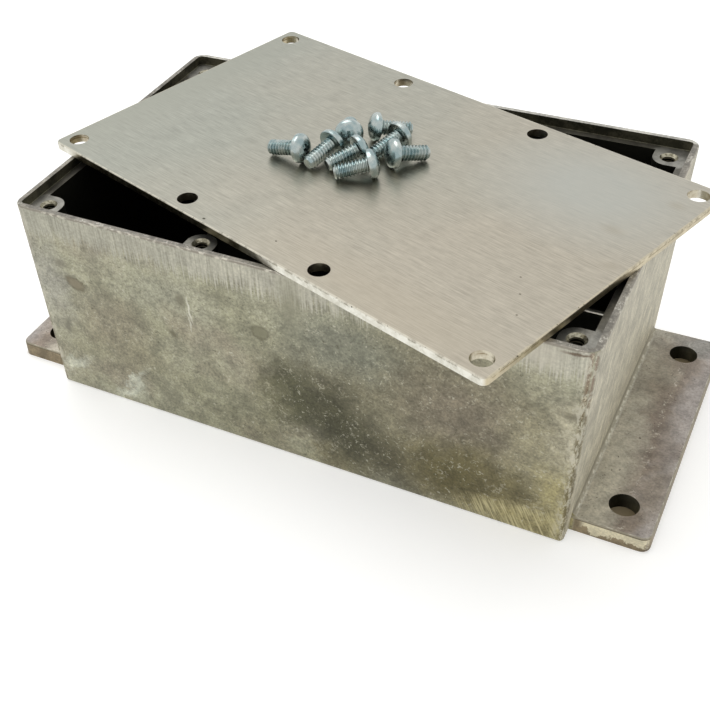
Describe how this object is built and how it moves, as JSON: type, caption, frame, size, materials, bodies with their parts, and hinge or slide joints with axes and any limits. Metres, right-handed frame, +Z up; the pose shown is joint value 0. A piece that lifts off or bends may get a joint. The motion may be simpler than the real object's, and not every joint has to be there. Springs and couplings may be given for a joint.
{
  "type": "aluminium project box",
  "caption": "Shallow die-cast aluminium enclosure with a mounting flange at each end, a flat sheet cover lying askew on the rim and its loose pan-head screws on top.",
  "frame": {"origin": "middle of the flat mounting face under the box", "axes": "+X along the length from flange to flange, +Y across the width, +Z up through the open top"},
  "size_m": [0.132, 0.0942, 0.0505],
  "materials": {
    "cast_aluminium": "as cast, walls brushed upright, worn and stained",
    "sheet_aluminium": "brushed sheet",
    "zinc_steel": "bright zinc plate"
  },
  "bodies": {
    "root": {"box_body": "cast_aluminium", "cover_plate": "sheet_aluminium", "cover_screws": "zinc_steel"}
  },
  "joints": []
}
